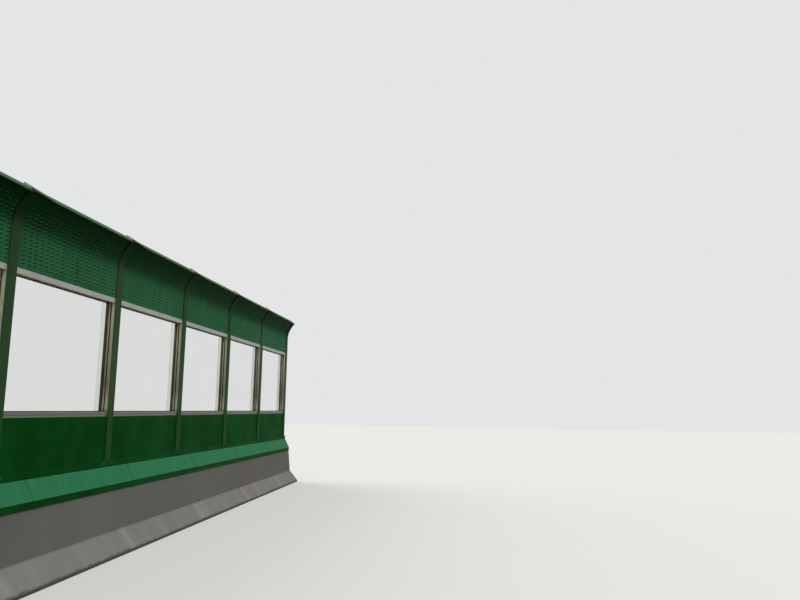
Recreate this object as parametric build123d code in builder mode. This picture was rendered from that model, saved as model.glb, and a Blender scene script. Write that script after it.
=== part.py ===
# Highway noise barrier: panels slotted between curved-top H-posts on a concrete parapet, six bays long.
# X runs along the barrier, the traffic side is -Y, and Z = 0 is the road at the parapet's foot.
import math
import os

from build123d import *

os.makedirs("parts", exist_ok=True)

# Driving dimensions, in millimetres and degrees
bay_count = 6
bay_pitch = 2000
seat_gap = 0.3

# Concrete parapet
parapet_height = 710
parapet_front = 147.5
parapet_back = 152.5
parapet_batter = 48
slope_height = 235
slope_run = 175
toe_height = 30
parapet_chamfer = 15
end_overrun = 150

# H-posts
post_depth = 125
post_width = 125
post_web = 6.5
post_flange = 9
post_root_chamfer = 7
bend_radius = 470
bend_angle = 36
tip_length = 90
plate_width = 250
plate_depth = 250
plate_thickness = 22
rib_thickness = 9
rib_height = 90
rib_reach = 50

# Panels and windows
channel_gap = 6
panel_end_gap = 11.75
lower_panel_height = 738
window_height = 1330
upper_straight_height = 313
panel_rib_width = 44
panel_rib_pitch = 190
rail_height = 50
stile_width = 50
glass_back_lip = 17
glass_thickness = 10
glass_bite = 18
reveal_groove_setback = 12
reveal_groove_width = 19
reveal_groove_depth = 10
rail_groove_height = 18
rail_groove_width = 9
rail_groove_depth = 6

# Folded sheets
sheet = 2.3
sill_overhang = 45
sill_lip = 65
sill_rise = 185
sill_upstand = 70
sill_reach = 94
sill_lap_offset = 500
sill_lap = 80
cap_lip = 8
cap_lap = 60
cap_lap_gap = 3.7
cap_ramp = 300
cap_overrun = 75

# Sizes that follow from the ones above
half_length = bay_count * bay_pitch / 2
post_front = post_depth / 2
bend_center_y = -post_front - bend_radius
bend_middle = bend_radius + post_front
panel_half = post_front - post_flange - channel_gap
panel_depth = 2 * panel_half
panel_rib_depth = channel_gap - seat_gap
panel_length = bay_pitch - post_web - 2 * panel_end_gap
plate_top = parapet_height + plate_thickness
panel_bottom = plate_top + seat_gap
lower_panel_top = panel_bottom + lower_panel_height
window_bottom = lower_panel_top + seat_gap
window_top = window_bottom + window_height
upper_panel_bottom = window_top + seat_gap
straight_top = upper_panel_bottom + upper_straight_height
first_post_x = -half_length
parapet_end = half_length + end_overrun


def post_x(number):
    return first_post_x + number * bay_pitch


def bay_x(number):
    return post_x(number) + bay_pitch / 2


# Concrete parapet with a steep sloped foot on the traffic side
with BuildPart() as parapet:
    with BuildSketch(Plane.YZ.offset(-parapet_end)):
        with BuildLine():
            Polyline(
                (parapet_back, 0),
                (parapet_back, parapet_height),
                (-parapet_front, parapet_height),
                (-parapet_front - parapet_batter, slope_height),
                (-parapet_front - parapet_batter - slope_run, toe_height),
                (-parapet_front - parapet_batter - slope_run, 0),
                close=True,
            )
        make_face()
    extrude(amount=2 * parapet_end)
    top_edges = parapet.faces().sort_by(Axis.Z)[-1].edges().filter_by(Axis.X)
    chamfer(top_edges, length=parapet_chamfer)
parapet.part.label = "parapet"
export_step(parapet.part, "parts/parapet.step")


def past_bend(radius, rise):
    angle = math.radians(bend_angle)
    y = bend_center_y + radius * math.cos(angle) - rise * math.sin(angle)
    z = straight_top + radius * math.sin(angle) + rise * math.cos(angle)
    return y, z


def h_section(plane):
    with BuildSketch(plane) as section:
        Rectangle(post_width, post_depth)
        pocket_width = (post_width - post_web) / 2
        with GridLocations((post_width + post_web) / 2, 0, 2, 1):
            Rectangle(pocket_width, post_depth - 2 * post_flange, mode=Mode.SUBTRACT)
        root_corners = section.vertices().filter_by_position(Axis.X, -post_web, post_web)
        chamfer(root_corners, length=post_root_chamfer)
    return section.sketch


# H-posts on ribbed base plates, upright, then curved towards the traffic, then straight to the tip
for number in range(bay_count + 1):
    x = post_x(number)
    with BuildPart() as post:
        with BuildSketch(Plane((x, 0, parapet_height))):
            Rectangle(plate_width, plate_depth)
        extrude(amount=plate_thickness)
        extrude(h_section(Plane((x, 0, plate_top))), amount=straight_top - plate_top)
        bend_axis = Axis((x, bend_center_y, straight_top), (1, 0, 0))
        revolve(h_section(Plane((x, 0, straight_top))), axis=bend_axis, revolution_arc=bend_angle)
        tip_plane = Plane((x, *past_bend(bend_middle, 0))).rotated((bend_angle, 0, 0))
        extrude(h_section(tip_plane), amount=tip_length)
        with BuildSketch(Plane.YZ.offset(x - rib_thickness / 2)):
            with BuildLine():
                Polyline(
                    (post_front, plate_top),
                    (post_front + rib_reach, plate_top),
                    (post_front, plate_top + rib_height),
                    close=True,
                )
            make_face()
            mirror(about=Plane.YZ)
        extrude(amount=rib_thickness)
    post.part.label = f"post_{number + 1}"
    export_step(post.part, f"parts/{post.part.label}.step")


def back_ribs(middle_height, count):
    with Locations((panel_half + panel_rib_depth / 2, middle_height)):
        with GridLocations(0, panel_rib_pitch, 1, count):
            Trapezoid(panel_rib_width, panel_rib_depth, left_side_angle=45, rotation=-90)


# Panel boxes below the windows, standing on the base plates; the pressed ribs seat on the back flanges
for number in range(bay_count):
    with BuildPart() as lower_panel:
        with BuildSketch(Plane.YZ.offset(bay_x(number) - panel_length / 2)):
            with Locations((0, panel_bottom)):
                Rectangle(panel_depth, lower_panel_height, align=(Align.CENTER, Align.MIN))
            back_ribs((panel_bottom + lower_panel_top) / 2, 3)
        extrude(amount=panel_length)
    lower_panel.part.label = f"lower_panel_{number + 1}"
    export_step(lower_panel.part, f"parts/{lower_panel.part.label}.step")

# Window frames with a glazing groove, and shallow grooves round each reveal and along the bottom rail
opening_width = panel_length - 2 * stile_width
opening_height = window_height - 2 * rail_height
glass_setback = panel_depth - glass_back_lip - glass_thickness
groove_spare = 2 * seat_gap
for number in range(bay_count):
    frame_center = Vector(bay_x(number), 0, (window_top + window_bottom) / 2)
    front_plane = Plane(origin=frame_center - Vector(0, panel_half, 0), x_dir=(1, 0, 0), z_dir=(0, 1, 0))
    groove_plane = front_plane.offset(glass_setback - seat_gap)
    rail_groove_y = window_height / 2 - rail_groove_height - rail_groove_width / 2
    with BuildPart() as window_frame:
        with BuildSketch(front_plane):
            Rectangle(panel_length, window_height)
            Rectangle(opening_width, opening_height, mode=Mode.SUBTRACT)
        extrude(amount=panel_depth)
        with BuildSketch(groove_plane):
            Rectangle(opening_width + 2 * glass_bite, opening_height + 2 * glass_bite)
        extrude(amount=glass_thickness + groove_spare, mode=Mode.SUBTRACT)
        with BuildSketch(front_plane.offset(reveal_groove_setback)):
            Rectangle(opening_width + 2 * reveal_groove_depth, opening_height + 2 * reveal_groove_depth)
        extrude(amount=reveal_groove_width, mode=Mode.SUBTRACT)
        with BuildSketch(front_plane):
            with Locations((0, rail_groove_y)):
                Rectangle(panel_length, rail_groove_width)
        extrude(amount=rail_groove_depth, mode=Mode.SUBTRACT)
    window_frame.part.label = f"window_frame_{number + 1}"
    export_step(window_frame.part, f"parts/{window_frame.part.label}.step")

    with BuildPart() as window_glass:
        with BuildSketch(front_plane.offset(glass_setback)):
            Rectangle(
                opening_width + 2 * (glass_bite - seat_gap),
                opening_height + 2 * (glass_bite - seat_gap),
            )
        extrude(amount=glass_thickness)
    window_glass.part.label = f"window_glass_{number + 1}"
    export_step(window_glass.part, f"parts/{window_glass.part.label}.step")

# Louvred panels that follow the posts: upright, curved, then straight to the tip
front_bend = bend_middle - panel_half
back_bend = bend_middle + panel_half
for number in range(bay_count):
    with BuildPart() as upper_panel:
        with BuildSketch(Plane.YZ.offset(bay_x(number) - panel_length / 2)):
            with BuildLine():
                front_arc = CenterArc((bend_center_y, straight_top), front_bend, 0, bend_angle)
                back_arc = CenterArc((bend_center_y, straight_top), back_bend, 0, bend_angle)
                Polyline(
                    front_arc @ 1,
                    past_bend(front_bend, tip_length),
                    past_bend(back_bend, tip_length),
                    back_arc @ 1,
                )
                Polyline(
                    front_arc @ 0,
                    (-panel_half, upper_panel_bottom),
                    (panel_half, upper_panel_bottom),
                    back_arc @ 0,
                )
            make_face()
            back_ribs((upper_panel_bottom + straight_top) / 2, 2)
        extrude(amount=panel_length)
    upper_panel.part.label = f"upper_panel_{number + 1}"
    export_step(upper_panel.part, f"parts/{upper_panel.part.label}.step")


def folded_sheet(plane, fold_points, side):
    with BuildSketch(plane) as section:
        with BuildLine():
            fold = Polyline(*fold_points)
            offset(fold, amount=sheet, side=side, kind=Kind.INTERSECTION)
        make_face()
    return section.sketch


# Sill cover folded from sheet, each piece lapped over the next one half a metre past a post
sill_face = -post_front - seat_gap - sheet
sill_bottom = parapet_height - sill_overhang
sill_nose = sill_bottom + sill_lip
sill_fold = [
    (sill_face, sill_nose + sill_rise + sill_upstand),
    (sill_face, sill_nose + sill_rise),
    (sill_face - sill_reach, sill_nose),
    (sill_face - sill_reach, sill_bottom),
]
sill_joints = [post_x(number) + sill_lap_offset for number in range(bay_count)]
sill_ends = [-parapet_end, *sill_joints, parapet_end]
for number in range(bay_count + 1):
    start = sill_ends[number] + seat_gap
    end = sill_ends[number + 1] - seat_gap
    with BuildPart() as sill:
        extrude(folded_sheet(Plane.YZ.offset(start), sill_fold, Side.LEFT), amount=end - start)
        if number < bay_count:
            lap_start = end - sill_lap / 2
            extrude(folded_sheet(Plane.YZ.offset(lap_start), sill_fold, Side.RIGHT), amount=sill_lap)
    sill.part.label = f"sill_{number + 1}"
    export_step(sill.part, f"parts/{sill.part.label}.step")

# Folded cap over the tips of the panels and posts, each piece lapped over the one before it at a post
cap_lift = cap_lip + sheet + cap_lap_gap


def cap_section(x, lift):
    rise = tip_length + seat_gap + lift
    front = past_bend(bend_radius - seat_gap, rise)
    back = past_bend(bend_radius + post_depth + seat_gap, rise)
    fold_points = [
        (front[0], front[1] - cap_lip),
        front,
        back,
        past_bend(bend_radius + post_depth + seat_gap, rise - cap_lip),
    ]
    return folded_sheet(Plane.YZ.offset(x), fold_points, Side.LEFT)


for number in range(bay_count):
    level_start = post_x(0) - cap_overrun
    end = post_x(number + 1) + cap_lap / 2
    if number == bay_count - 1:
        end = post_x(bay_count) + cap_overrun
    with BuildPart() as top_cap:
        if number > 0:
            lap_start = post_x(number) - cap_lap / 2
            lap_end = lap_start + cap_lap + cap_lap_gap
            level_start = lap_end + cap_ramp
            extrude(cap_section(lap_start, cap_lift), amount=lap_end - lap_start)
            loft([cap_section(lap_end, cap_lift), cap_section(level_start, 0)])
        extrude(cap_section(level_start, 0), amount=end - level_start)
    top_cap.part.label = f"top_cap_{number + 1}"
    export_step(top_cap.part, f"parts/{top_cap.part.label}.step")
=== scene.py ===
import math
import random

import bmesh
import bpy
from mathutils import Matrix, Vector


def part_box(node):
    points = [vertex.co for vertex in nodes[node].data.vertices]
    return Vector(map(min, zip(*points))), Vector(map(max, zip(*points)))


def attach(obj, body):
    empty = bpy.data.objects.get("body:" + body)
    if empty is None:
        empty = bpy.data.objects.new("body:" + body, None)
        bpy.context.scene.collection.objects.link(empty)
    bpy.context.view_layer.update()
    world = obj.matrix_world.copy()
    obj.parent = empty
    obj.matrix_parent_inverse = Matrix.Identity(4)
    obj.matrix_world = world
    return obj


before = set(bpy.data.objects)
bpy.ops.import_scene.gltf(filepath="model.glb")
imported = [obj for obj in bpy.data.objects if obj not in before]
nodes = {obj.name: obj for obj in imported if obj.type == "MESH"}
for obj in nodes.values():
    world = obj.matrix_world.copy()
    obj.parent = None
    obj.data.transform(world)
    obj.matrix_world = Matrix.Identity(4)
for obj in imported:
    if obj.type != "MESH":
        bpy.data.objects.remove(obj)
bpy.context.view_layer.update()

print("stage: frame loaded,", len(nodes), "nodes")

# Places taken from the frame, in metres
bayCount = sum(1 for name in nodes if name.startswith("upper_panel_"))
postCount = bayCount + 1
seatGap = 0.0003  # between a CAD piece and what it stands on


def nodeMiddle(name):
    low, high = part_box(name)
    return (low + high) / 2


postXs = [nodeMiddle(f"post_{n + 1}").x for n in range(postCount)]
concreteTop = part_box("parapet")[1].z
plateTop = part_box("lower_panel_1")[0].z - seatGap
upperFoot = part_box("upper_panel_1")[0].z
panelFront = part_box("window_frame_1")[0].y
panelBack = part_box("window_frame_1")[1].y

# The arc that posts and upper panels share, measured on the panels' front face
bendSettings = {"radius": 0.485, "angle": 36.0, "aboveFoot": 0.313}
bendStart = upperFoot + bendSettings["aboveFoot"]
bendCenterY = panelFront - bendSettings["radius"]
bendAngle = math.radians(bendSettings["angle"])

# Camera at the photograph's viewing angle, in metres and degrees
cameraSettings = {
    "alongFromMiddle": -9.969,
    "acrossFromPosts": -4.023,
    "height": 1.6,
    "heading": 5.144,
    "pitch": 8.53,
    "roll": 0.899,
    "focalPixels": 728.0,
    "imageWidth": 800,
    "sensor": 36.0,
    "clipEnd": 200,
}


def addCamera(s):
    data = bpy.data.cameras.new("camera")
    data.sensor_width = s["sensor"]
    data.lens = s["focalPixels"] / s["imageWidth"] * s["sensor"]
    data.clip_end = s["clipEnd"]
    camera = bpy.data.objects.new("camera", data)
    bpy.context.collection.objects.link(camera)
    place = Matrix.Translation((s["alongFromMiddle"], s["acrossFromPosts"], s["height"]))
    turn = Matrix.Rotation(math.radians(s["heading"] - 90), 4, "Z")
    tilt = Matrix.Rotation(math.radians(90 + s["pitch"]), 4, "X")
    roll = Matrix.Rotation(math.radians(s["roll"]), 4, "Z")
    camera.matrix_world = place @ turn @ tilt @ roll
    bpy.context.scene.camera = camera


addCamera(cameraSettings)
bpy.context.scene.view_settings.view_transform = "Standard"
print("stage: camera placed")


# Small steps that the studio and the finishes share
def linearColor(hexText):
    # sRGB hex to the linear colour that a shader socket takes
    parts = [int(hexText[i:i + 2], 16) / 255 for i in (0, 2, 4)]
    return tuple(p / 12.92 if p <= 0.04045 else ((p + 0.055) / 1.055) ** 2.4 for p in parts) + (1.0,)


def join(tree, first, second, how="MULTIPLY"):
    # One sum on two values, each a socket or a number
    result = tree.nodes.new("ShaderNodeMath")
    result.operation = how
    result.use_clamp = how in ("MULTIPLY", "ADD")
    for value, socket in zip((first, second), result.inputs):
        if isinstance(value, (int, float)):
            socket.default_value = value
        else:
            tree.links.new(value, socket)
    return result.outputs[0]


def spread(tree, source, low, high, least=0.0, most=1.0):
    # Stretches the values between low and high over least to most
    fit = tree.nodes.new("ShaderNodeMapRange")
    fit.inputs["From Min"].default_value = low
    fit.inputs["From Max"].default_value = high
    fit.inputs["To Min"].default_value = least
    fit.inputs["To Max"].default_value = most
    tree.links.new(source, fit.inputs["Value"])
    return fit.outputs["Result"]


def texture(tree, kind, scale, stretch=(1, 1, 1)):
    # A texture on object coordinates, drawn out along an axis where stretch is small
    place = tree.nodes.new("ShaderNodeTexCoord")
    mapping = tree.nodes.new("ShaderNodeMapping")
    mapping.inputs["Scale"].default_value = stretch
    made = tree.nodes.new(kind)
    made.inputs["Scale"].default_value = scale
    tree.links.new(place.outputs["Object"], mapping.inputs["Vector"])
    tree.links.new(mapping.outputs["Vector"], made.inputs["Vector"])
    return made


def grain(tree, p):
    noise = texture(tree, "ShaderNodeTexNoise", p["scale"], p.get("stretch", (1, 1, 1)))
    noise.inputs["Detail"].default_value = p["detail"]
    noise.inputs["Distortion"].default_value = p.get("twist", 0.0)
    return noise.outputs["Fac"]


def pattern(tree, p, most=1.0):
    # Grain with its contrast set, from least where it is low to most where it is high
    return spread(tree, grain(tree, p), p["low"], p["high"], p.get("least", 0.0), p.get("most", most))


def spots(tree, scale):
    # Distance to the nearest of many scattered points
    return texture(tree, "ShaderNodeTexVoronoi", scale).outputs["Distance"]


def stripes(tree, source, pitch, first, halfWidth):
    # 1 at every pitch along the source, fading to 0 at halfWidth to either side
    turns = join(tree, join(tree, source, first, "SUBTRACT"), pitch, "DIVIDE")
    phase = join(tree, join(tree, turns, 0.5, "SUBTRACT"), 1.0, "FLOORED_MODULO")
    offCenter = join(tree, join(tree, phase, 0.5, "SUBTRACT"), 0.0, "ABSOLUTE")
    return spread(tree, offCenter, halfWidth / pitch, 0.0)


def splitAxis(tree, source, axis):
    split = tree.nodes.new("ShaderNodeSeparateXYZ")
    tree.links.new(source, split.inputs[0])
    return split.outputs[axis]


def facing(tree, axis):
    # How far the surface faces along an axis, from -1 to 1
    return splitAxis(tree, tree.nodes.new("ShaderNodeNewGeometry").outputs["Normal"], axis)


def along(tree, axis):
    # How far along an object axis the surface is, in metres
    return splitAxis(tree, tree.nodes.new("ShaderNodeTexCoord").outputs["Object"], axis)


def blendColor(tree, amount, under, over):
    mix = tree.nodes.new("ShaderNodeMix")
    mix.data_type = "RGBA"
    tree.links.new(amount, mix.inputs["Factor"])
    for value, socket in ((under, mix.inputs[6]), (over, mix.inputs[7])):
        if isinstance(value, str):
            socket.default_value = linearColor(value)
        else:
            tree.links.new(value, socket)
    return mix.outputs[2]


def addBump(tree, shader, height, s):
    bump = tree.nodes.new("ShaderNodeBump")
    bump.inputs["Strength"].default_value = s["bumpStrength"]
    bump.inputs["Distance"].default_value = s["bumpDepth"]
    tree.links.new(height, bump.inputs["Height"])
    tree.links.new(bump.outputs["Normal"], shader.inputs["Normal"])


def startFinish(name, s):
    material = bpy.data.materials.new(name)
    material.use_nodes = True
    tree = material.node_tree
    shader = tree.nodes["Principled BSDF"]
    shader.inputs["Roughness"].default_value = s["rough"]
    shader.inputs["Metallic"].default_value = s.get("metal", 0.0)
    shader.inputs["Specular IOR Level"].default_value = s["shine"]
    return material, tree, shader


# Soft overcast studio: pale floor and backdrop to the eye, little light thrown back up from below
studioSettings = {
    "floorSize": 120,
    "floorColor": "d6d5d1",
    "floorUnseenColor": "1c1c1b",
    "fillColor": "ffffff",
    "fillStrength": 0.3,
    "backdropColor": "e4e5e6",
    "backdropStrength": 1.0,
    "lamps": {
        "trafficSide": {"strength": 2.6, "from": (-0.36, -0.36, 0.86)},
        "farSide": {"strength": 1.2, "from": (0.25, 0.75, 0.6)},
    },
    "lampAngle": 55,
}


def mixByRays(tree, unseen, seen, output):
    # The seen shader on camera, glossy and transmission rays, the unseen one on all others
    rays = tree.nodes.new("ShaderNodeLightPath").outputs
    cameraOrGlossy = join(tree, rays["Is Camera Ray"], rays["Is Glossy Ray"], "ADD")
    mix = tree.nodes.new("ShaderNodeMixShader")
    tree.links.new(join(tree, cameraOrGlossy, rays["Is Transmission Ray"], "ADD"), mix.inputs[0])
    tree.links.new(unseen.outputs[0], mix.inputs[1])
    tree.links.new(seen.outputs[0], mix.inputs[2])
    tree.links.new(mix.outputs[0], output.inputs["Surface"])


def addWorld(s):
    world = bpy.data.worlds.new("studio")
    bpy.context.scene.world = world
    world.use_nodes = True
    tree = world.node_tree
    tree.nodes.clear()
    fill = tree.nodes.new("ShaderNodeBackground")
    fill.inputs["Color"].default_value = linearColor(s["fillColor"])
    fill.inputs["Strength"].default_value = s["fillStrength"]
    backdrop = tree.nodes.new("ShaderNodeBackground")
    backdrop.inputs["Color"].default_value = linearColor(s["backdropColor"])
    backdrop.inputs["Strength"].default_value = s["backdropStrength"]
    mixByRays(tree, fill, backdrop, tree.nodes.new("ShaderNodeOutputWorld"))


def addFloor(s):
    material = bpy.data.materials.new("paleFloor")
    material.use_nodes = True
    tree = material.node_tree
    tree.nodes.clear()
    unseen = tree.nodes.new("ShaderNodeBsdfDiffuse")
    unseen.inputs["Color"].default_value = linearColor(s["floorUnseenColor"])
    seen = tree.nodes.new("ShaderNodeBsdfDiffuse")
    seen.inputs["Color"].default_value = linearColor(s["floorColor"])
    mixByRays(tree, unseen, seen, tree.nodes.new("ShaderNodeOutputMaterial"))
    bm = bmesh.new()
    bmesh.ops.create_grid(bm, x_segments=1, y_segments=1, size=s["floorSize"] / 2)
    mesh = bpy.data.meshes.new("floor")
    bm.to_mesh(mesh)
    bm.free()
    mesh.materials.append(material)
    floor = bpy.data.objects.new("floor", mesh)
    bpy.context.collection.objects.link(floor)


def addLamps(s):
    for name, lampSettings in s["lamps"].items():
        lamp = bpy.data.lights.new(name, "SUN")
        lamp.energy = lampSettings["strength"]
        lamp.angle = math.radians(s["lampAngle"])
        lampObject = bpy.data.objects.new(name, lamp)
        lampObject.rotation_euler = Vector(lampSettings["from"]).to_track_quat("Z", "Y").to_euler()
        # The clear sheets show the backdrop and not the round lamp
        lampObject.visible_glossy = False
        lampObject.visible_transmission = False
        bpy.context.collection.objects.link(lampObject)


addWorld(studioSettings)
addFloor(studioSettings)
addLamps(studioSettings)
print("stage: studio lit")

# Finishes: a pattern has the scale, detail, stretch and twist of its grain, and its contrast
concreteSettings = {
    "base": "6f716a", "light": "767870", "damp": "60625c", "rusty": "6c5f57",
    "pale": "868b8e", "lift": "8f8f88", "toe": "5c584d",
    "rough": 0.9, "shine": 0.2,
    "cloud": {"scale": 1.1, "detail": 5, "low": 0.36, "high": 0.64},
    "speckle": {"scale": 60, "detail": 8, "low": 0.38, "high": 0.7, "most": 0.3},
    "runs": {"scale": 6, "detail": 5, "stretch": (1, 0.25, 0.25), "twist": 0.3,
             "low": 0.5, "high": 0.78, "most": 0.22},
    "brownRuns": {"scale": 0.55, "detail": 3, "stretch": (1, 1, 0.6), "low": 0.5, "high": 0.75, "most": 0.5},
    "slopeTop": 0.245, "slopeFull": 0.215,
    "patchPitch": 2.22, "firstPatch": -1.87, "patchHalf": 0.13, "patchAmount": 0.75,
    "patchWave": {"scale": 3.1, "detail": 3, "low": 0, "high": 1, "least": -0.16, "most": 0.16},
    # The pale bands on the sloped foot are painted light for the sky on the upward slope
    "slopeLightBands": {"scale": 2.6, "detail": 3, "stretch": (1, 0.05, 0.05),
              "low": 0.42, "high": 0.66, "least": 0.192, "most": 0.448},
    "toeTop": 0.046, "toeFull": 0.0322, "toeAmount": 0.9,
    "toeEdge": {"scale": 9, "detail": 6, "low": 0.3, "high": 0.7, "least": -0.008, "most": 0.012},
    "sand": {"scale": 240, "detail": 6}, "sandAmount": 0.35,
    "poreScale": 55, "poreSize": 0.16, "poreAmount": 0.6,
    "bumpStrength": 0.4, "bumpDepth": 0.0012,
}


def makeConcrete(s):
    material, tree, shader = startFinish("castConcrete", s)
    height = along(tree, "Z")
    color = blendColor(tree, pattern(tree, s["cloud"]), s["base"], s["light"])
    color = blendColor(tree, pattern(tree, s["speckle"]), color, s["damp"])
    # Water has run down the face in faint streaks
    color = blendColor(tree, pattern(tree, s["runs"]), color, s["damp"])
    color = blendColor(tree, pattern(tree, s["brownRuns"]), color, s["rusty"])
    # The sloped foot is paler, with bluish patches at even steps; its long pale bands are painted light,
    # standing in for the sky light on the upward slope
    onSlope = spread(tree, height, s["slopeTop"], s["slopeFull"])
    wavyX = join(tree, along(tree, "X"), pattern(tree, s["patchWave"]), "SUBTRACT")
    patches = stripes(tree, wavyX, s["patchPitch"], s["firstPatch"], s["patchHalf"])
    patches = join(tree, join(tree, patches, onSlope), s["patchAmount"])
    color = blendColor(tree, patches, color, s["pale"])
    # Painted light: pale bands laid over the whole slope
    color = blendColor(tree, join(tree, pattern(tree, s["slopeLightBands"]), onSlope), color, s["lift"])
    # Splashed dirt along the bottom, with a soft ragged upper edge
    raggedHeight = join(tree, height, pattern(tree, s["toeEdge"]), "SUBTRACT")
    dirt = spread(tree, raggedHeight, s["toeTop"], s["toeFull"], 0.0, s["toeAmount"])
    color = blendColor(tree, dirt, color, s["toe"])
    tree.links.new(color, shader.inputs["Base Color"])
    sand = join(tree, grain(tree, s["sand"]), s["sandAmount"])
    pores = join(tree, spread(tree, spots(tree, s["poreScale"]), 0.0, s["poreSize"]), s["poreAmount"])
    addBump(tree, shader, join(tree, sand, pores, "ADD"), s)
    return material


# Ends are the upward facing at which a blend starts and is full, from -1 down to 1 up
paintSettings = {
    "panel": {"base": "094614", "worn": "115620", "dust": "2a6a42", "grime": "062c0c",
              "rough": 0.5, "shine": 0.006, "dustEnds": (0.3, 0.95), "streaks": 0.35},
    # The louvre's pale dust on its hood tops is partly a painted highlight
    "louvre": {"base": "1a4a23", "worn": "22522b", "dust": "5c9c74", "grime": "123a20",
               "rough": 0.55, "shine": 0.012, "dustEnds": (0.1, 0.8), "streaks": 0.4,
               # The paler colours next are painted light on the louvre panel's upright faces
               "paintedLit": "38774c", "paintedLitPatch": "3f7e56", "paintedLitEnds": (-0.27, -0.03)},
    # The sill's pale dust on its tray is partly painted light from above
    "sill": {"base": "084615", "worn": "0f531e", "dust": "367e56", "grime": "0a3c16",
             "rough": 0.5, "shine": 0.009, "dustEnds": (0.12, 0.4), "streaks": 0.3},
    "post": {"base": "1b4020", "worn": "244626", "dust": "5d7a58", "grime": "3a3322",
             "rough": 0.6, "shine": 0.02, "dustEnds": (0.3, 0.95), "streaks": 0.65, "chips": 0.5,
             # The paler colours next are painted light on the post's upright faces
             "paintedLit": "365839", "paintedLitPatch": "4e6340", "paintedLitEnds": (-0.38, -0.08),
             "foot": "21542a", "footTop": 1.66, "footFull": 1.4},
    "cap": {"base": "3a4c32", "worn": "455a3c", "dust": "435d3b", "grime": "2d3420",
            "rough": 0.65, "shine": 0.02, "dustEnds": (0.2, 0.8), "streaks": 0.5, "chips": 0.3},
    "clip": {"base": "15502a", "worn": "1f5c34", "dust": "3d7c56", "grime": "123a1b",
             "rough": 0.55, "shine": 0.012, "dustEnds": (0.3, 0.95), "streaks": 0.3, "chips": 0.3},
}
paintWear = {
    "fade": {"scale": 1.3, "detail": 4, "low": 0.38, "high": 0.62},
    # How strongly the painted light on upright faces is laid on, and its patches
    "paintedLitAmount": 0.92,
    "paintedLitPatches": {"scale": 0.8, "detail": 3, "stretch": (1, 1, 0.7), "low": 0.4, "high": 0.62},
    "footAmount": 0.85,
    "streaks": {"scale": 16, "detail": 6, "stretch": (1, 1, 0.035), "twist": 0.2, "low": 0.52, "high": 0.78},
    "smudges": {"scale": 5.5, "detail": 8, "low": 0.55, "high": 0.8, "most": 0.35},
    "dust": {"scale": 9, "detail": 6, "stretch": (1, 0.4, 0.4), "low": 0.3, "high": 0.75, "least": 0.78},
    "chips": {"scale": 60, "detail": 8, "low": 0.7, "high": 0.74},
    "chipColor": "4a2f1c",
    "peel": {"scale": 260, "detail": 3}, "peelAmount": 0.12,
    "waves": {"scale": 3.2, "detail": 2},
    "bumpStrength": 0.25, "bumpDepth": 0.002,
}


def makePaint(name, s, wear):
    material, tree, shader = startFinish(name, s)
    color = blendColor(tree, pattern(tree, wear["fade"]), s["base"], s["worn"])
    if "paintedLit" in s:
        # Painted light and shade: upright faces are painted a paler, patchy green as if lit, while faces
        # that lean over keep the darker paint as painted shade
        paintedLitMask = spread(tree, facing(tree, "Z"), *s["paintedLitEnds"], 0.0, wear["paintedLitAmount"])
        paintedLit = blendColor(tree, pattern(tree, wear["paintedLitPatches"]), s["paintedLit"], s["paintedLitPatch"])
        color = blendColor(tree, paintedLitMask, color, paintedLit)
    if "foot" in s:
        # The post turns a deeper green low down
        kept = spread(tree, along(tree, "Z"), s["footTop"], s["footFull"], 0.0, wear["footAmount"])
        color = blendColor(tree, kept, color, s["foot"])
    # Rain has drawn the dirt down in thin lines
    color = blendColor(tree, pattern(tree, wear["streaks"], s["streaks"]), color, s["grime"])
    color = blendColor(tree, pattern(tree, wear["smudges"]), color, s["grime"])
    # Dust and bleaching on what faces up, partly painted light: the pale sill tray and louvre hood tops are
    # lightened for the sky light they catch
    upwardDustAndLight = spread(tree, facing(tree, "Z"), *s["dustEnds"])
    color = blendColor(tree, join(tree, upwardDustAndLight, pattern(tree, wear["dust"])), color, s["dust"])
    if "chips" in s:
        color = blendColor(tree, pattern(tree, wear["chips"], s["chips"]), color, wear["chipColor"])
    tree.links.new(color, shader.inputs["Base Color"])
    peel = join(tree, grain(tree, wear["peel"]), wear["peelAmount"])
    addBump(tree, shader, join(tree, peel, grain(tree, wear["waves"]), "ADD"), wear)
    return material


# Each blend down the frame has a height at which it starts and one at which it is full
frameSettings = {
    "base": "b4b8b1", "light": "c3c6c0", "line": "9d9c92", "dust": "908a7b",
    # The warm reveal colour is a painted reflection, and its darker low colour is painted shade
    "reveal": "c8c09a", "revealShade": "74755f", "low": "76756a",
    "rough": 0.5, "metal": 0.3, "shine": 0.3,
    "cloud": {"scale": 4, "detail": 6, "low": 0.35, "high": 0.65},
    "lines": {"scale": 24, "detail": 5, "stretch": (0.05, 1, 1), "low": 0.45, "high": 0.75, "most": 0.4},
    "revealStart": 0.0005, "revealDeep": 0.004, "revealAmount": 0.85,  # depths behind the front face
    # The heights next set the painted shade and painted light down the reveal
    "shadeTop": 2.65, "shadeFull": 1.8,
    "revealLightTop": 1.82, "revealLightFull": 1.62, "revealLightAmount": 0.75,
    "lowTop": 1.56, "lowFull": 1.525, "lowAmount": 0.92,
    "dustEnds": (0.2, 0.9), "dustAmount": 0.6,
    "brushing": {"scale": 180, "detail": 4, "stretch": (0.08, 1, 1)},
    "bumpStrength": 0.12, "bumpDepth": 0.001,
}


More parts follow.
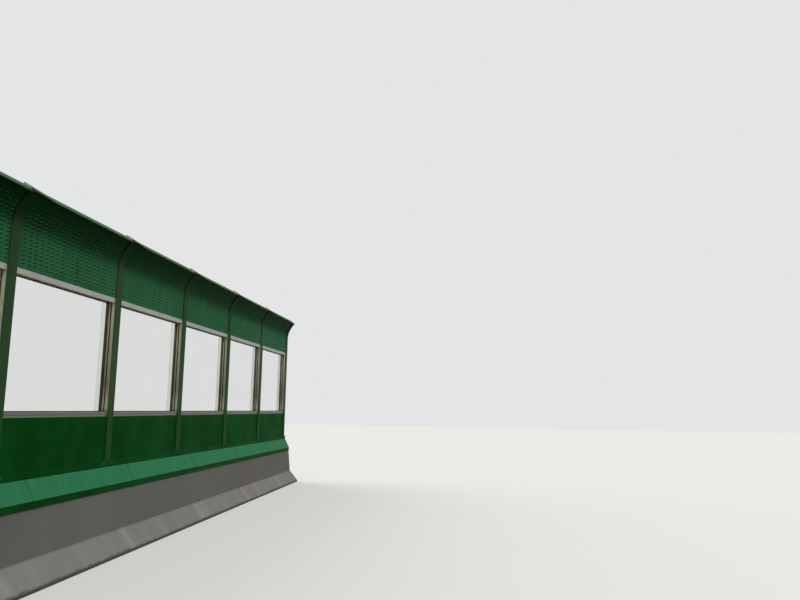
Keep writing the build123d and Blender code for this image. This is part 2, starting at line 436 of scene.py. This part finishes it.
def makeFrameMetal(s):
    # Satin anodised aluminium, dirtier along the bottom; inside the opening the reveal is painted a warm
    # beige as a painted reflection of lit surroundings, with painted shade lower down and painted light
    # again near the bottom
    material, tree, shader = startFinish("satinAluminium", s)
    height = along(tree, "Z")
    color = blendColor(tree, pattern(tree, s["cloud"]), s["base"], s["light"])
    color = blendColor(tree, pattern(tree, s["lines"]), color, s["line"])
    # Painted reflection and shade in the reveal: warm beige high up, darker lower down, paler again near the
    # bottom
    shade = spread(tree, height, s["shadeTop"], s["shadeFull"])
    reveal = blendColor(tree, shade, s["reveal"], s["revealShade"])
    pale = spread(tree, height, s["revealLightTop"], s["revealLightFull"], 0.0, s["revealLightAmount"])
    reveal = blendColor(tree, pale, reveal, s["reveal"])
    inReveal = spread(tree, along(tree, "Y"), panelFront + s["revealStart"], panelFront + s["revealDeep"],
                      0.0, s["revealAmount"])
    color = blendColor(tree, inReveal, color, reveal)
    low = spread(tree, height, s["lowTop"], s["lowFull"], 0.0, s["lowAmount"])
    color = blendColor(tree, low, color, s["low"])
    dusty = spread(tree, facing(tree, "Z"), *s["dustEnds"], 0.0, s["dustAmount"])
    color = blendColor(tree, dusty, color, s["dust"])
    tree.links.new(color, shader.inputs["Base Color"])
    addBump(tree, shader, grain(tree, s["brushing"]), s)
    return material


clearSettings = {
    "clean": "f3f4f1", "hazy": "f0f1ee",
    "rough": 0.03, "shine": 0.5, "ior": 1.49,
    "haze": {"scale": 3, "detail": 6, "low": 0.35, "high": 0.7},
}


def makeClearSheet(s):
    material, tree, shader = startFinish("clearSheet", s)
    shader.inputs["Transmission Weight"].default_value = 1.0
    shader.inputs["IOR"].default_value = s["ior"]
    color = blendColor(tree, pattern(tree, s["haze"]), s["clean"], s["hazy"])
    tree.links.new(color, shader.inputs["Base Color"])
    return material


rubberSettings = {
    "kinds": {
        "gasket": ("glazingRubber", "2a2e24", "3c4033"),
        "bead": ("beadRubber", "2e2213", "44341f"),
        "seal": ("channelRubber", "12170f", "222619"),
        "packing": ("packingFoam", "2b2c2a", "45463f"),
    },
    "rough": 0.8, "shine": 0.2,
    "cloud": {"scale": 30, "detail": 5, "low": 0.35, "high": 0.7},
    "skin": {"scale": 300, "detail": 3},
    "bumpStrength": 0.2, "bumpDepth": 0.0006,
}


def makeRubber(name, dark, gray, s):
    material, tree, shader = startFinish(name, s)
    color = blendColor(tree, pattern(tree, s["cloud"]), dark, gray)
    tree.links.new(color, shader.inputs["Base Color"])
    addBump(tree, shader, grain(tree, s["skin"]), s)
    return material


zincSettings = {
    "dull": "7d8080", "bright": "9da09e", "rust": "6a4a33",
    "rough": 0.5, "metal": 0.7, "shine": 0.5,
    "spangleScale": 260, "spangleEnds": (0.1, 0.6),
    "rustSpots": {"scale": 90, "detail": 6, "low": 0.6, "high": 0.72, "most": 0.6},
    "skin": {"scale": 320, "detail": 4},
    "bumpStrength": 0.2, "bumpDepth": 0.0005,
}


def makeZinc(s):
    # Hot-dip zinc with its spangle, dulled by weather
    material, tree, shader = startFinish("dullZinc", s)
    spangle = spread(tree, spots(tree, s["spangleScale"]), *s["spangleEnds"])
    color = blendColor(tree, spangle, s["dull"], s["bright"])
    color = blendColor(tree, pattern(tree, s["rustSpots"]), color, s["rust"])
    tree.links.new(color, shader.inputs["Base Color"])
    addBump(tree, shader, grain(tree, s["skin"]), s)
    return material


litMouthSettings = {
    # Both colours are paler than the hood's paint, a painted light in the mouth's shade
    "dark": "3f7d50", "light": "4a8a5c",
    "rough": 0.95, "shine": 0.1,
    "wool": {"scale": 400, "detail": 3, "low": 0.4, "high": 0.7},
}


def makeLitMouth(s):
    # The inside of a louvre's mouth, painted paler than its hood as a painted light that lifts the shade
    # where little light reaches
    material, tree, shader = startFinish("louvreMouthPaintedLight", s)
    color = blendColor(tree, pattern(tree, s["wool"]), s["dark"], s["light"])
    tree.links.new(color, shader.inputs["Base Color"])
    return material


finishes = {
    "concrete": makeConcrete(concreteSettings),
    "frame": makeFrameMetal(frameSettings),
    "clear": makeClearSheet(clearSettings),
    "zinc": makeZinc(zincSettings),
    "mouth": makeLitMouth(litMouthSettings),
}
for paintName, paint in paintSettings.items():
    finishes[paintName] = makePaint(f"{paintName}Paint", paint, paintWear)
for rubberName, rubber in rubberSettings["kinds"].items():
    finishes[rubberName] = makeRubber(*rubber, rubberSettings)

nodeFinish = {
    "parapet": "concrete", "post": "post", "lower_panel": "panel", "window_frame": "frame",
    "window_glass": "clear", "upper_panel": "louvre", "sill": "sill", "top_cap": "cap",
}


def dressNodes():
    for name, node in nodes.items():
        kind = name.rstrip("0123456789").rstrip("_")
        node.data.materials.clear()
        node.data.materials.append(finishes[nodeFinish[kind]])


dressNodes()
print("stage: finishes on the frame's nodes")


# Small steps that the pieces share
def finishPiece(bm, name, finishNames, smooth=False):
    # Turns a bmesh into a piece that rides with the barrier
    mesh = bpy.data.meshes.new(name)
    bm.to_mesh(mesh)
    bm.free()
    for finishName in finishNames:
        mesh.materials.append(finishes[finishName])
    for polygon in mesh.polygons:
        polygon.use_smooth = smooth
    piece = bpy.data.objects.new(name, mesh)
    bpy.context.collection.objects.link(piece)
    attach(piece, "root")


def ofKind(items, kind):
    return [item for item in items if isinstance(item, kind)]


def addBlock(bm, low, high, easing, segments=1):
    # A box between two corners, with its edges eased
    low, high = Vector(low), Vector(high)
    size = high - low
    shape = Matrix.Translation((low + high) / 2) @ Matrix.Diagonal((size.x, size.y, size.z, 1))
    verts = bmesh.ops.create_cube(bm, size=1.0, matrix=shape)["verts"]
    edges = list(dict.fromkeys(edge for vert in verts for edge in vert.link_edges))
    bmesh.ops.bevel(bm, geom=edges, offset=easing, segments=segments, profile=0.5, affect="EDGES",
                    material=-1)


def addRound(bm, place, radiusLow, radiusHigh, height, segments):
    # A turned piece standing on the local XY plane of place
    shape = place @ Matrix.Translation((0, 0, height / 2))
    bmesh.ops.create_cone(bm, cap_ends=True, segments=segments, radius1=radiusLow, radius2=radiusHigh,
                          depth=height, matrix=shape)


def outwardPlace(point, outward):
    # A place whose local Z points outward from the surface
    return Matrix.Translation(point) @ Vector(outward).to_track_quat("Z", "Y").to_matrix().to_4x4()


def stampCopies(mesh, places):
    # One bmesh with a copy of the mesh at each place
    bm = bmesh.new()
    for place in places:
        before = len(bm.verts)
        bm.from_mesh(mesh)
        bm.verts.ensure_lookup_table()
        bmesh.ops.transform(bm, matrix=place, verts=bm.verts[before:])
    return bm


# Louvres punched into the upper panels: a rounded hood above each mouth
louvreSettings = {
    "length": 0.056, "rise": 0.014, "bulge": 0.0043, "sunk": 0.0003,
    "lip": 0.0009, "mouthDepth": 0.0015, "mouthSetback": 0.0006,
    "around": 12, "rings": 8, "cutDistance": 1e-6, "mergeDistance": 1e-5,
    "pitchAlong": 0.09, "pitchUp": 0.0385, "rows": 16, "firstRow": 0.0505, "clearOfPost": 0.095,
    "panelShifts": (0.012, 0.071, 0.03, 0.045, 0.062, 0.02),
}


def makeHood(s):
    # A quarter of a long ellipsoid, with its mouth pressed in below
    bm = bmesh.new()
    bmesh.ops.create_uvsphere(bm, u_segments=s["around"], v_segments=s["rings"], radius=1.0)
    bmesh.ops.rotate(bm, cent=(0, 0, 0), matrix=Matrix.Rotation(math.radians(90), 3, "Y"), verts=bm.verts)
    bmesh.ops.scale(bm, vec=(s["length"] / 2, s["bulge"], s["rise"]), verts=bm.verts)
    for normal in ((0, 1, 0), (0, 0, -1)):
        bmesh.ops.bisect_plane(bm, geom=bm.verts[:] + bm.edges[:] + bm.faces[:], dist=s["cutDistance"],
                               plane_co=(0, 0, 0), plane_no=normal, clear_outer=True)
    bmesh.ops.remove_doubles(bm, verts=bm.verts, dist=s["mergeDistance"])
    # The mouth closes the open underside, then a face closes the back
    low = [v for v in bm.verts if abs(v.co.z) < s["mergeDistance"]]
    mouthEdges = [e for e in bm.edges if e.is_boundary and all(v in low for v in e.verts)]
    mouthEdges.append(bm.edges.new([v for v in low if abs(v.co.y) < s["mergeDistance"]]))
    mouth = bmesh.ops.contextual_create(bm, geom=mouthEdges)["faces"][0]
    bmesh.ops.contextual_create(bm, geom=[e for e in bm.edges if e.is_boundary])
    bmesh.ops.recalc_face_normals(bm, faces=bm.faces)
    if mouth.normal.z > 0:
        bmesh.ops.reverse_faces(bm, faces=bm.faces)
    bmesh.ops.inset_region(bm, faces=[mouth], thickness=s["lip"], depth=0.0)
    bmesh.ops.translate(bm, vec=(0, s["mouthSetback"], s["mouthDepth"]), verts=mouth.verts)
    for edge in mouth.edges:
        for face in edge.link_faces:
            face.material_index = 1
    mesh = bpy.data.meshes.new("hood")
    bm.to_mesh(mesh)
    bm.free()
    return mesh


def rowPlace(climb, sunk):
    # Up the panel's face: upright, then round the bend, then straight to the tip
    pastStart = upperFoot + climb - bendStart
    turn = min(max(0.0, pastStart / bendSettings["radius"]), bendAngle)
    rise = pastStart - turn * bendSettings["radius"]
    around = Matrix.Translation((0, bendCenterY, bendStart)) @ Matrix.Rotation(turn, 4, "X")
    return around @ Matrix.Translation((0, bendSettings["radius"] + sunk, rise))


def addLouvres(s):
    hood = makeHood(s)
    rowPlaces = [rowPlace(s["firstRow"] + n * s["pitchUp"], s["sunk"]) for n in range(s["rows"])]
    for bay in range(bayCount):
        hoodPlaces = []
        x = postXs[bay] + s["panelShifts"][bay]
        while x < postXs[bay + 1] - s["clearOfPost"]:
            if x > postXs[bay] + s["clearOfPost"]:
                hoodPlaces.append(Matrix.Translation((x, 0, 0)))
            x += s["pitchAlong"]
        rowMesh = bpy.data.meshes.new("louvreRow")
        row = stampCopies(hood, hoodPlaces)
        row.to_mesh(rowMesh)
        row.free()
        louvres = stampCopies(rowMesh, rowPlaces)
        finishPiece(louvres, f"louvres_{bay + 1}", ["louvre", "mouth"], smooth=True)


addLouvres(louvreSettings)
print("stage: louvres,", louvreSettings["rows"], "rows a panel")

# Round each clear sheet: rubber front and back, a metal cover in the reveal's groove, a brown bead behind it
glazingSettings = {
    "reveal": 0.05,
    "frontWidth": 0.005, "frontDepth": 0.002, "backWidth": 0.009, "backDepth": 0.0165,
    "coverSetback": 0.0121, "coverDepth": 0.0188, "coverSunk": 0.0098, "coverWidth": 0.0097,
    "beadSetback": 0.0335, "beadDepth": 0.0135, "beadSunk": 0.0002, "beadWidth": 0.0014,
}


def addRing(bm, name, sunk, width, fromY, depth):
    # A flat four-sided ring, its outer edge sunk into the frame's opening, given depth along Y
    low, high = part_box(name)
    middle = nodeMiddle(name)
    halfWidth = (high.x - low.x) / 2 - glazingSettings["reveal"] + sunk
    halfHeight = (high.z - low.z) / 2 - glazingSettings["reveal"] + sunk
    shape = Matrix.Translation((middle.x, fromY, middle.z)) @ Matrix.Rotation(math.radians(90), 4, "X")
    shape = shape @ Matrix.Diagonal((halfWidth, halfHeight, 1, 1))
    verts = bmesh.ops.create_grid(bm, x_segments=1, y_segments=1, size=1.0, matrix=shape)["verts"]
    face = verts[0].link_faces[0]
    ring = bmesh.ops.inset_region(bm, faces=[face], thickness=width, depth=0.0, use_boundary=True,
                                  use_even_offset=True)["faces"]
    bmesh.ops.delete(bm, geom=[face], context="FACES")
    grown = bmesh.ops.extrude_face_region(bm, geom=ring)["geom"]
    bmesh.ops.translate(bm, vec=(0, depth, 0), verts=ofKind(grown, bmesh.types.BMVert))


def finishRings(bm, name, finishName):
    bmesh.ops.recalc_face_normals(bm, faces=bm.faces)
    finishPiece(bm, name, [finishName])


def addGlazing(s):
    for bay in range(bayCount):
        opening = f"window_frame_{bay + 1}"
        glassLow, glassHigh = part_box(f"window_glass_{bay + 1}")
        gaskets = bmesh.new()
        addRing(gaskets, opening, 0.0, s["frontWidth"], glassLow.y, -s["frontDepth"])
        addRing(gaskets, opening, 0.0, s["backWidth"], glassHigh.y, s["backDepth"])
        finishRings(gaskets, f"gaskets_{bay + 1}", "gasket")
        cover = bmesh.new()
        coverFront = panelFront + s["coverSetback"]
        addRing(cover, opening, s["coverSunk"], s["coverWidth"], coverFront, s["coverDepth"])
        finishRings(cover, f"groove_covers_{bay + 1}", "frame")
        bead = bmesh.new()
        beadFront = panelFront + s["beadSetback"]
        addRing(bead, opening, s["beadSunk"], s["beadWidth"], beadFront, s["beadDepth"])
        finishRings(bead, f"glazing_beads_{bay + 1}", "bead")


addGlazing(glazingSettings)
print("stage: gaskets, groove covers and glazing beads")

# Rubber strips that hold the panels between the flanges, and packing under the panels
sealSettings = {"fromWeb": 0.035, "width": 0.018, "flangeFace": 0.0535, "bendSteps": 9, "tip": 0.089}
packingSettings = {"half": 0.046, "plateHalf": 0.125, "easing": 0.003, "easingSegments": 2}


def addStrip(bm, xs, ys, s):
    # Up the post, round its bend and on to its tip
    middle = Vector((sum(xs) / 2, sum(ys) / 2, plateTop))
    shape = Matrix.Translation(middle) @ Matrix.Diagonal((xs[1] - xs[0], ys[1] - ys[0], 1, 1))
    verts = bmesh.ops.create_grid(bm, x_segments=1, y_segments=1, size=0.5, matrix=shape)["verts"]
    grown = bmesh.ops.extrude_face_region(bm, geom=[verts[0].link_faces[0]])["geom"]
    bmesh.ops.translate(bm, vec=(0, 0, bendStart - plateTop), verts=ofKind(grown, bmesh.types.BMVert))
    end = ofKind(grown, bmesh.types.BMFace)
    turned = bmesh.ops.spin(bm, geom=end, cent=(middle.x, bendCenterY, bendStart), axis=(1, 0, 0),
                            angle=bendAngle, steps=s["bendSteps"], dvec=(0, 0, 0))["geom_last"]
    bmesh.ops.delete(bm, geom=end, context="FACES_ONLY")
    end = ofKind(turned, bmesh.types.BMFace)
    grown = bmesh.ops.extrude_face_region(bm, geom=end)["geom"]
    bmesh.ops.delete(bm, geom=end, context="FACES_ONLY")
    reach = Vector((0, -math.sin(bendAngle), math.cos(bendAngle))) * s["tip"]
    bmesh.ops.translate(bm, vec=reach, verts=ofKind(grown, bmesh.types.BMVert))


def addSeals(s):
    for n, x in enumerate(postXs):
        bm = bmesh.new()
        for side in (-1, 1):
            if 0 <= n + side < postCount:
                xs = sorted((x + side * s["fromWeb"], x + side * (s["fromWeb"] + s["width"])))
                addStrip(bm, xs, (-s["flangeFace"], panelFront), s)
                addStrip(bm, xs, (panelBack, s["flangeFace"]), s)
        bmesh.ops.recalc_face_normals(bm, faces=bm.faces)
        finishPiece(bm, f"channel_seals_{n + 1}", ["seal"])


def addPacking(s):
    for bay in range(bayCount):
        bm = bmesh.new()
        low = (postXs[bay] + s["plateHalf"], -s["half"], concreteTop)
        high = (postXs[bay + 1] - s["plateHalf"], s["half"], plateTop + seatGap)
        addBlock(bm, low, high, s["easing"], s["easingSegments"])
        finishPiece(bm, f"panel_packing_{bay + 1}", ["packing"])


addSeals(sealSettings)
addPacking(packingSettings)
print("stage: seals and packing")

# Anchor bolts through the base plates, with nut, washer and thread
anchorSettings = {
    "across": 0.092, "deep": 0.095,
    "washerRadius": 0.0185, "washerHeight": 0.003, "washerSegments": 28,
    "nutRadius": 0.0173, "nutHeight": 0.016, "nutEasing": 0.00192,
    "rodRadius": 0.0098, "rodAbove": 0.012, "rodSegments": 16, "threadPitch": 0.0025, "threadTaper": 0.9,
    "turnByPost": 0.4, "turnByX": 1.0, "turnByY": 0.7,
}


def addNut(bm, place, radius, height, easing):
    # Six flats, with the edges eased round the top and bottom
    before = len(bm.verts)
    addRound(bm, place, radius, radius, height, 6)
    bm.verts.ensure_lookup_table()
    edges = dict.fromkeys(edge for vert in bm.verts[before:] for edge in vert.link_edges)
    rims = [edge for edge in edges if any(len(face.verts) == 6 for face in edge.link_faces)]
    bmesh.ops.bevel(bm, geom=rims, offset=easing, segments=1, profile=0.5, affect="EDGES", material=-1)


def addThread(bm, place, s):
    # Ridges stacked up the rod
    radius = s["rodRadius"]
    step = 0
    while step * s["threadPitch"] < s["rodAbove"]:
        ridge = place @ Matrix.Translation((0, 0, step * s["threadPitch"]))
        addRound(bm, ridge, radius, radius * s["threadTaper"], s["threadPitch"], s["rodSegments"])
        step += 1


def addAnchors(s):
    for n, x in enumerate(postXs):
        bm = bmesh.new()
        for sideX in (-1, 1):
            for sideY in (-1, 1):
                turn = s["turnByPost"] * n + s["turnByX"] * sideX + s["turnByY"] * sideY
                place = Matrix.Translation((x + sideX * s["across"], sideY * s["deep"], plateTop))
                place = place @ Matrix.Rotation(turn, 4, "Z")
                addRound(bm, place, s["washerRadius"], s["washerRadius"], s["washerHeight"],
                         s["washerSegments"])
                nut = place @ Matrix.Translation((0, 0, s["washerHeight"]))
                addNut(bm, nut, s["nutRadius"], s["nutHeight"], s["nutEasing"])
                addThread(bm, nut @ Matrix.Translation((0, 0, s["nutHeight"])), s)
        finishPiece(bm, f"anchor_bolts_{n + 1}", ["zinc"])


addAnchors(anchorSettings)
print("stage: anchor bolts")

# Fillet welds where each post stands on its plate
weldSettings = {
    "beadRadius": 0.0062, "step": 0.0045, "halfWidth": 0.0625, "halfDepth": 0.0625,
    "wander": 0.0006, "turnMost": 3, "seed": 7,
}


def addWelds(s):
    draw = random.Random(s["seed"])
    bead = bmesh.new()
    bmesh.ops.create_icosphere(bead, subdivisions=1, radius=s["beadRadius"])
    beadMesh = bpy.data.meshes.new("weldBead")
    bead.to_mesh(beadMesh)
    bead.free()
    count = int(2 * s["halfWidth"] / s["step"])
    for n, x in enumerate(postXs):
        places = []
        for sideY in (-1, 1):
            for i in range(count + 1):
                offset = -s["halfWidth"] + i * s["step"]
                jog = draw.uniform(-s["wander"], s["wander"])
                spot = Vector((x + offset, sideY * (s["halfDepth"] + jog), plateTop + jog / 2))
                turn = Matrix.Rotation(draw.uniform(0, s["turnMost"]), 4, "Z")
                places.append(Matrix.Translation(spot) @ turn)
        finishPiece(stampCopies(beadMesh, places), f"welds_{n + 1}", ["post"], smooth=True)


addWelds(weldSettings)
print("stage: welds")

# Clip plates that hold the sill's upstand beside each post, and screws with sealing washers
sillShape = {"face": -0.0651, "trayTop": 0.915, "reach": 0.094, "nose": 0.73, "sheet": 0.0023}
screwShape = {"washerSegments": 16, "washerTaper": 0.85, "headSegments": 6, "headTaper": 0.94}
clipSettings = {
    "inner": 0.0665, "outer": 0.1245, "low": 0.012, "high": 0.058, "thick": 0.003, "easing": 0.0008,
    "washerRadius": 0.0115, "washerHeight": 0.002, "headRadius": 0.0088, "headHeight": 0.006,
    "turnByPost": 0.5,
}
screwSettings = {
    "washerRadius": 0.006, "washerHeight": 0.0012, "headRadius": 0.0042, "headHeight": 0.0035,
    "upstandRise": 0.06, "upstandSteps": (0.3, 0.55, 0.8, 1.05, 1.3, 1.55, 1.72),
    "lapSteps": (0.22, 0.55, 0.86), "lapOffset": 0.5, "lapHalf": 0.022,
}


def addScrew(bm, place, s):
    addRound(bm, place, s["washerRadius"], s["washerRadius"] * screwShape["washerTaper"], s["washerHeight"],
             screwShape["washerSegments"])
    head = place @ Matrix.Translation((0, 0, s["washerHeight"]))
    addRound(bm, head, s["headRadius"], s["headRadius"] * screwShape["headTaper"], s["headHeight"],
             screwShape["headSegments"])


def addClips(s, shape):
    front = shape["face"] - s["thick"]
    low = shape["trayTop"] + s["low"]
    high = shape["trayTop"] + s["high"]
    for n, x in enumerate(postXs):
        plates = bmesh.new()
        bolts = bmesh.new()
        for side in (-1, 1):
            xs = sorted((x + side * s["inner"], x + side * s["outer"]))
            addBlock(plates, (xs[0], front, low), (xs[1], shape["face"], high), s["easing"])
            place = outwardPlace((sum(xs) / 2, front, (low + high) / 2), (0, -1, 0))
            addScrew(bolts, place @ Matrix.Rotation(s["turnByPost"] * n + side, 4, "Z"), s)
        finishPiece(plates, f"clip_plates_{n + 1}", ["clip"])
        finishPiece(bolts, f"clip_bolts_{n + 1}", ["clip"])


def addSillScrews(s, shape):
    trayFall = shape["trayTop"] - shape["nose"]
    trayOut = Vector((0, -trayFall, shape["reach"])).normalized()
    bm = bmesh.new()
    for x in postXs[:-1]:
        for step in s["upstandSteps"]:
            point = (x + step, shape["face"], shape["trayTop"] + s["upstandRise"])
            addScrew(bm, outwardPlace(point, (0, -1, 0)), s)
        for step in s["lapSteps"]:
            point = Vector((x + s["lapOffset"] - s["lapHalf"], shape["face"] - step * shape["reach"],
                            shape["trayTop"] - step * trayFall))
            addScrew(bm, outwardPlace(point + trayOut * shape["sheet"], trayOut), s)
    finishPiece(bm, "sill_screws", ["clip"])


addClips(clipSettings, sillShape)
addSillScrews(screwSettings, sillShape)
print("stage: clips and sill screws")

# Pop rivets along the folded edges of the panels' backs
rivetSettings = {
    "radius": 0.0046, "taper": 0.6, "height": 0.0022, "segments": 10,
    "fromEdge": 0.024, "fromPost": 0.13, "count": 8,
}


def addRivets(s):
    for bay in range(bayCount):
        low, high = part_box(f"lower_panel_{bay + 1}")
        bm = bmesh.new()
        firstX = postXs[bay] + s["fromPost"]
        step = (postXs[bay + 1] - s["fromPost"] - firstX) / (s["count"] - 1)
        for z in (low.z + s["fromEdge"], high.z - s["fromEdge"], upperFoot + s["fromEdge"]):
            for n in range(s["count"]):
                place = outwardPlace((firstX + n * step, panelBack, z), (0, 1, 0))
                addRound(bm, place, s["radius"], s["radius"] * s["taper"], s["height"], s["segments"])
        finishPiece(bm, f"hem_rivets_{bay + 1}", ["clip"])


addRivets(rivetSettings)
print("stage: hem rivets")
